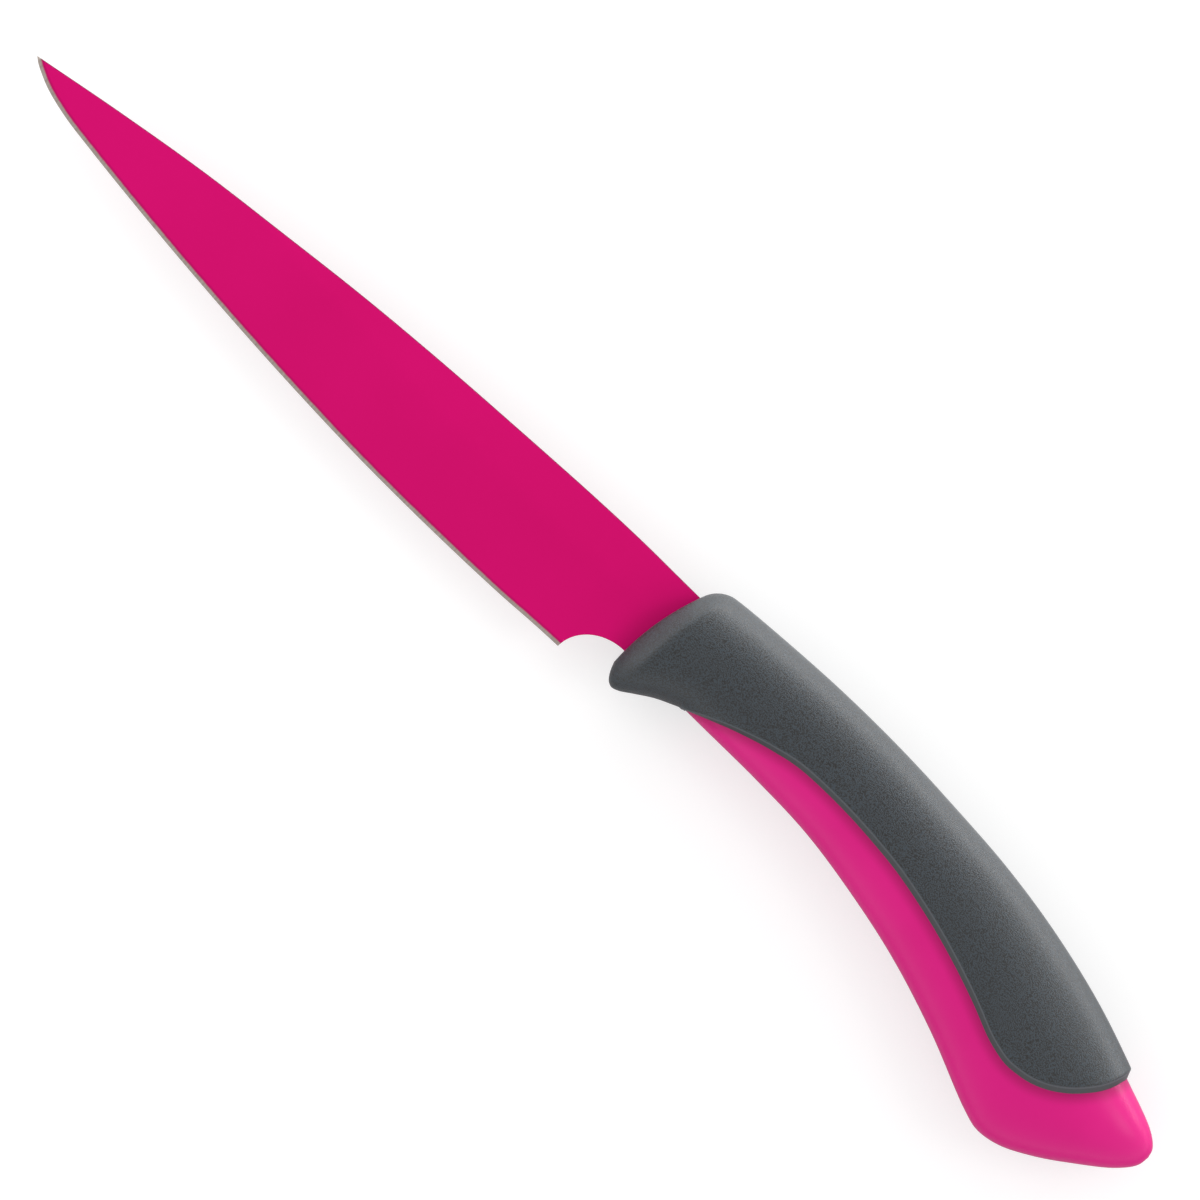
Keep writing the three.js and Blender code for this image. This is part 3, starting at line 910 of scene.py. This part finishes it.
rubber = Finish("soft_rubber")
here = rubber.place()
pits = rubber.noise(here, 3900, 6)
fine = rubber.noise(here, 9000, 2)
patches = rubber.noise(here, 60, 3)
tone = (pits * 0.75 + fine * 0.25).ramp(0.43, 0.57)
inward = rubber.measure("from_edge")
# the smooth lip: no grain in the bump, and a lighter colour that is partly painted light
lip = 1 - inward.ramp(grain_start, grain_full)
# a painted highlight along the crest of the lip
painted_crest_highlight = inward.ramp(*highlight_rise) * (1 - inward.ramp(*highlight_fall))
grained = rubber.mix(tone, paint(0, 0, 0), paint(38, 50, 59))
# the lip's colour: rubber without its pits, made lighter as painted light, with the painted crest highlight
lip_colour_and_painted_highlight = rubber.mix(painted_crest_highlight, paint(36, 43, 48), paint(64, 72, 78))
parting = rubber.parting_line(here, 0.05 * mm, 0.22 * mm)
soft_rubber = rubber.surface({
    "Base Color": rubber.mix(lip.maths("MAXIMUM", painted_crest_highlight), grained, lip_colour_and_painted_highlight),
    "Roughness": 0.38 + patches * 0.06 + tone * 0.08,
    "Specular IOR Level": 0.75,
    "Sheen Weight": 0.1,
    "Sheen Roughness": 0.35,
    "Normal": rubber.bump(tone * (1 - lip) + parting * 1.5, 0.7),
})
finish_piece(grip_net, "grip_moulding", soft_rubber, "soft_grip", sharp_angle=38)

# %% [markdown]
# ## The hard core
#
# The core shows along the belly and at the butt, and goes on under the grip as a seat that is one bed deeper.
# Its net follows the grip's edge too: the lower rows lie on the visible flank up to the edge, one step leads
# down into the seat, and the upper rows lie on the seat. Where there is nothing to show yet, in front, the
# lower rows shrink to the seat's belly line, and behind the grip the upper rows shrink to the back. Nothing of
# the pocket for the tang shows, so it is left out, and the tang runs through the core's mesh.

# %% Flank, groove and seat of the core
seat_play = 0.02 * mm
tail_turn = handle_length - 3 * mm
core_stations = np.concatenate([
    spread(core_start, guard_length, 16),
    spread(guard_length, split_start, 4)[1:],
    split_stations,
    spread(split_end, tail_turn, 30),
    spread(handle_length, tail_turn, 26, 2)[-2::-1],
])
show_start = int(np.searchsorted(core_stations, split_start, side="right")) - 1
show_end = int(np.searchsorted(core_stations, split_end, side="right")) - 1
core_rows = []
for number, along in enumerate(core_stations):
    edge = -math.pi / 2 if number < show_start else split_angle(along)
    edge = math.pi / 2 if number >= show_end else edge
    flank = core_points(along, spread(-math.pi / 2, edge, 44))
    laid = bed_points(min(along, split_end), spread(edge, math.pi / 2, 16), inset=seat_play)
    if number < show_start:
        flank[:] = laid[0]
    if number >= show_end:
        laid[:] = flank[-1]
    core_rows.append(np.vstack([flank, laid]))
core_surface = both_flanks(np.stack(core_rows))
core_net, core_places = wrap_net(core_surface, handle_zero)
from_seam = core_net.verts.layers.float.new("from_seam")
seam_distance = edge_distances(core_surface)
for knot, place in zip(core_net.verts, core_places):
    knot[from_seam] = float(seam_distance[place]) / mm
bmesh.ops.remove_doubles(core_net, verts=core_net.verts, dist=melt_distance)
bmesh.ops.holes_fill(core_net, edges=[edge for edge in core_net.edges if edge.is_boundary], sides=0)
print("ribs of the core:", len(core_stations))

# %% [markdown]
# ## The core's finish
#
# The core is a hard, evenly coloured plastic from a polished mould: semi-gloss, with the very soft waviness
# that moulded plastic has, and a hair-thin parting line where the two halves of the mould met. The photograph
# shows a darker band of pink next to the grip, where the lip keeps the light off. Light alone makes it too
# faint here, so the distance from the seam, kept on the mesh, mixes in a deeper pink.

# %% Semi-gloss plastic
seam_width = 2.6
seam_shade = 0.75

plastic = Finish("hard_plastic")
here = plastic.place()
wave = plastic.noise(here, 260, 2)
fine = plastic.noise(here, 4200, 2)
patches = plastic.noise(here, 45, 3)
parting = plastic.parting_line(here, 0.04 * mm, 0.16 * mm)
seam = 1 - plastic.measure("from_seam").ramp(0, seam_width)
pink = plastic.mix(patches.ramp(0.3, 0.7), paint(213, 18, 124), paint(218, 22, 128))
hard_plastic = plastic.surface({
    "Base Color": plastic.mix(seam * seam_shade, pink, paint(168, 8, 90)),
    "Roughness": 0.27 + patches * 0.08 + fine * 0.04,
    "Specular IOR Level": 0.26,
    "Normal": plastic.bump(wave * 1.2 + fine * 0.3 + parting * 0.8, 0.6),
})
finish_piece(core_net, "core_moulding", hard_plastic, "handle_core", sharp_angle=38)

# %% [markdown]
# ## Sizes once more
#
# The dressed knife should be as large as the measured one, but for the few hundredths of a millimetre that its
# finer stations add. Both boxes are written down, so that they can be compared after each change.

# %% Write both boxes and finish
dressed_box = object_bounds()
boxes = {"measured": measured_box, "dressed": dressed_box}
for name, box in boxes.items():
    print(name, [round((high - low) / mm, 2) for low, high in zip(*box)], "mm")
